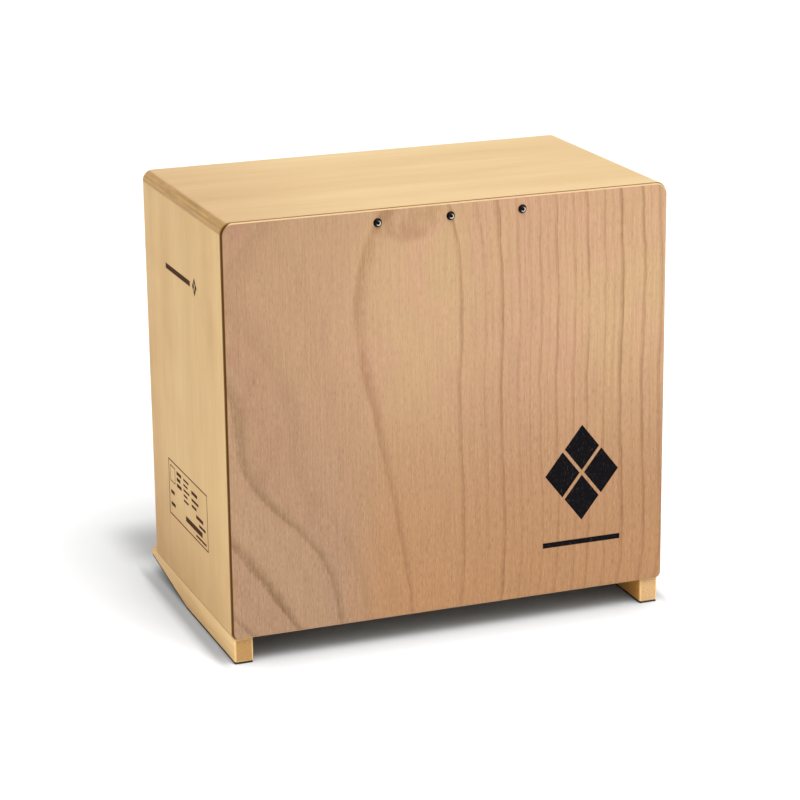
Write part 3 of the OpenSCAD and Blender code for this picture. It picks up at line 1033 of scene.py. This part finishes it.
def build_strands(side):
    """Coiled snare wires: each strand is one wire wound round the CAD strand's axis."""
    node = side + "_snare_strands"
    low, high = box_mm(node)
    count = 10
    coil_r, wire_r, pitch = 0.9, 0.2, 1.5
    steps = 12                  # along one turn
    sides = 5                   # round the wire
    first_x = low.x + coil_r
    gap = (high.x - low.x - 2 * coil_r) / (count - 1)
    start_y, end_y = high.y - coil_r, low.y + coil_r
    length = math.hypot(high.z - low.z, start_y - end_y)
    lean = math.asin((start_y - end_y) / length)
    turns = int(length / pitch)
    bm = bmesh.new()
    for k in range(count):
        rings = []
        for i in range(turns * steps + 1):
            a = 2 * math.pi * i / steps
            along = length * i / (turns * steps)
            out = Vector((math.cos(a), math.sin(a), 0.0))
            centre = out * (coil_r - wire_r) + Vector((0.0, 0.0, along))
            loop = []
            for s in range(sides):
                b = 2 * math.pi * s / sides
                p = centre + out * wire_r * math.cos(b) + Vector((0, 0, wire_r * math.sin(b)))
                y = p.y * math.cos(lean) - p.z * math.sin(lean)
                z = p.y * math.sin(lean) + p.z * math.cos(lean)
                loop.append(bm.verts.new(Vector((first_x + k * gap + p.x, start_y + y,
                                                 low.z + z)) * MM))
            rings.append(loop)
        skin(bm, rings)
    piece = make_object(side + "_snare_wires", bm, "snare", snare_steel, (node,))
    smooth(piece, 80)


build_strands("left")
build_strands("right")


# -------------------- printed marks

PRINT_T = 0.04


def add_prints(bm, shapes, axis, surface, outward):
    for outline in shapes:
        add_sheet(bm, outline, (), axis, surface - outward * 0.01, surface + outward * PRINT_T)


def lozenge(cx, cz, half_w, half_h):
    return [(cx - half_w, cz), (cx, cz - half_h), (cx + half_w, cz), (cx, cz + half_h)]


def lozenge_mark(cx, cz, half_w, half_h, gap):
    """A plain mark: one lozenge cut into four small ones."""
    w, h = half_w / 2, half_h / 2
    return [lozenge(cx + dx * w, cz + dz * h, w - gap, h - gap)
            for dx, dz in ((-1, 0), (1, 0), (0, -1), (0, 1))]


def build_front_print():
    shapes = lozenge_mark(152.0, CASE_BASE + 136.0, half_w=46.0, half_h=57.0, gap=2.6)
    shapes.append(rectangle(106.0, CASE_BASE + 54.0, 198.0, CASE_BASE + 60.0))
    bm = bmesh.new()
    add_prints(bm, shapes, "y", PLATE_FRONT, -1)
    make_object("plate_print", bm, "case", black_ink)


def open_box(u0, v0, u1, v1, line):
    """Four strokes round a rectangle."""
    return [rectangle(u0, v0, u1, v0 + line), rectangle(u0, v1 - line, u1, v1),
            rectangle(u0, v0 + line, u0 + line, v1 - line),
            rectangle(u1 - line, v0 + line, u1, v1 - line)]


# Plain bars inside the label frame: from and to behind the case's front, low and high edge
LABEL_BARS = ((172, 190, 126, 130), (176, 190, 119, 123), (172, 190, 112, 116),
              (144, 164, 127, 129.5), (148, 164, 121, 123.5), (142, 164, 115, 117.5),
              (150, 164, 109, 111.5), (146, 164, 103, 105.5), (112, 134, 121, 125),
              (108, 134, 113, 116), (116, 134, 106, 109), (200, 214, 98, 102),
              (198, 214, 84, 88), (92, 118, 98, 102), (84, 108, 91, 94),
              (96, 158, 82, 88), (82, 120, 76.5, 79))


def build_side_prints():
    """Small burnt marks on the left panel: a lozenge with a bar, and a frame of plain bars."""
    front = CASE_FRONT
    shapes = lozenge_mark(front + 96.0, CASE_BASE + 361.0, half_w=9.0, half_h=11.0, gap=0.9)
    shapes.append(rectangle(front + 112.0, CASE_BASE + 358.0, front + 203.0, CASE_BASE + 364.0))
    shapes += open_box(front + 75.0, CASE_BASE + 72.0, front + 221.0, CASE_BASE + 137.0, 1.5)
    shapes += open_box(front + 196.0, CASE_BASE + 112.0, front + 215.0, CASE_BASE + 131.0, 1.2)
    for start, end, low, high in LABEL_BARS:
        shapes.append(rectangle(front + start, CASE_BASE + low, front + end, CASE_BASE + high))
    bm = bmesh.new()
    add_prints(bm, shapes, "x", -HALF_W, -1)
    make_object("side_print", bm, "case", burn_mark)


build_front_print()
build_side_prints()


# -------------------- floor, light and camera

def build_floor():
    half_size_m = 12.0
    bm = bmesh.new()
    bmesh.ops.create_grid(bm, x_segments=1, y_segments=1, size=half_size_m)
    mesh = bpy.data.meshes.new("floor")
    bm.to_mesh(mesh)
    bm.free()
    floor = bpy.data.objects.new("floor", mesh)
    bpy.context.scene.collection.objects.link(floor)
    floor.location.z = -0.05 * MM
    shader = Shader("floor_painted_shadow")
    across, along, _ = shader.place_mm()
    aside = across.absolute()
    beside = (aside - HALF_W).smooth_step(-4.0, 14.0)
    # Painted shadow: the floor darkens where the case is near, more sharply beside it
    near = shader.add("ShaderNodeAmbientOcclusion", "AO", {"samples": 8},
                      Distance=shader.lerp(beside, 0.09, 0.026))
    # The deepest painted shadow lies just behind the case
    behind = along.smooth_step(165.0, 225.0) * (1.0 - along.smooth_step(262.0, 350.0))
    behind = behind * (1.0 - aside.smooth_step(222.0, 282.0))
    lit = near.power(beside * 2.0 + 1.0) * (1.0 - behind * 0.6)
    white = shader.mix(lit, (0.36, 0.36, 0.36), (0.93, 0.93, 0.93))
    mesh.materials.append(shader.finish(white, 0.9, Specular_IOR_Level=0.1))


def area_light(name, place_m, target, size, power):
    data = bpy.data.lights.new(name, "AREA")
    data.shape = "SQUARE"
    data.size = size
    data.energy = power
    light = bpy.data.objects.new(name, data)
    bpy.context.scene.collection.objects.link(light)
    light.visible_camera = False
    light.location = place_m
    light.rotation_mode = "QUATERNION"
    light.rotation_quaternion = (Vector(target) - Vector(place_m)).to_track_quat("-Z", "Y")


def build_world(base, glow, towards, spread):
    """A white studio, brightest around one direction, like a very large soft box."""
    world = bpy.data.worlds.new("studio")
    world.use_nodes = True
    tree = world.node_tree
    direction = tree.nodes.new("ShaderNodeTexCoord").outputs["Generated"]
    facing = tree.nodes.new("ShaderNodeVectorMath")
    facing.operation = "DOT_PRODUCT"
    tree.links.new(direction, facing.inputs[0])
    facing.inputs[1].default_value = Vector(towards).normalized()
    amount = Value(tree, facing.outputs["Value"]).at_least(0.0).power(spread) * glow + base
    background = tree.nodes["Background"]
    background.inputs["Color"].default_value = (1.0, 1.0, 1.0, 1.0)
    tree.links.new(amount.socket, background.inputs["Strength"])
    bpy.context.scene.world = world


def build_camera():
    """A long lens, 2.87 m away, from the front left and a little above."""
    azimuth, elevation, roll = math.radians(-20.69), math.radians(16.68), math.radians(-0.66)
    distance = 2.87
    aim = Vector((-0.0633, -0.1715, 0.2759))
    back = Vector((math.sin(azimuth) * math.cos(elevation),
                   -math.cos(azimuth) * math.cos(elevation), math.sin(elevation)))
    data = bpy.data.cameras.new("camera")
    data.sensor_width = 36.0
    data.lens = 123.38
    camera = bpy.data.objects.new("camera", data)
    bpy.context.scene.collection.objects.link(camera)
    camera.location = aim + back * distance
    camera.rotation_mode = "QUATERNION"
    camera.rotation_quaternion = (-back).to_track_quat("-Z", "Y") @ Quaternion((0, 0, 1), roll)
    bpy.context.scene.camera = camera


build_floor()
build_world(base=0.62, glow=6.0, towards=(0.08, -0.5, 0.86), spread=16.0)
area_light("key", (0.4, -2.2, 4.0), (0.0, 0.0, 0.25), size=1.8, power=54.0)
area_light("inside", (0.0, 0.0, 0.44), (0.0, -0.04, 0.1), size=0.16, power=0.55)
build_camera()
bpy.context.scene.view_settings.view_transform = "Standard"
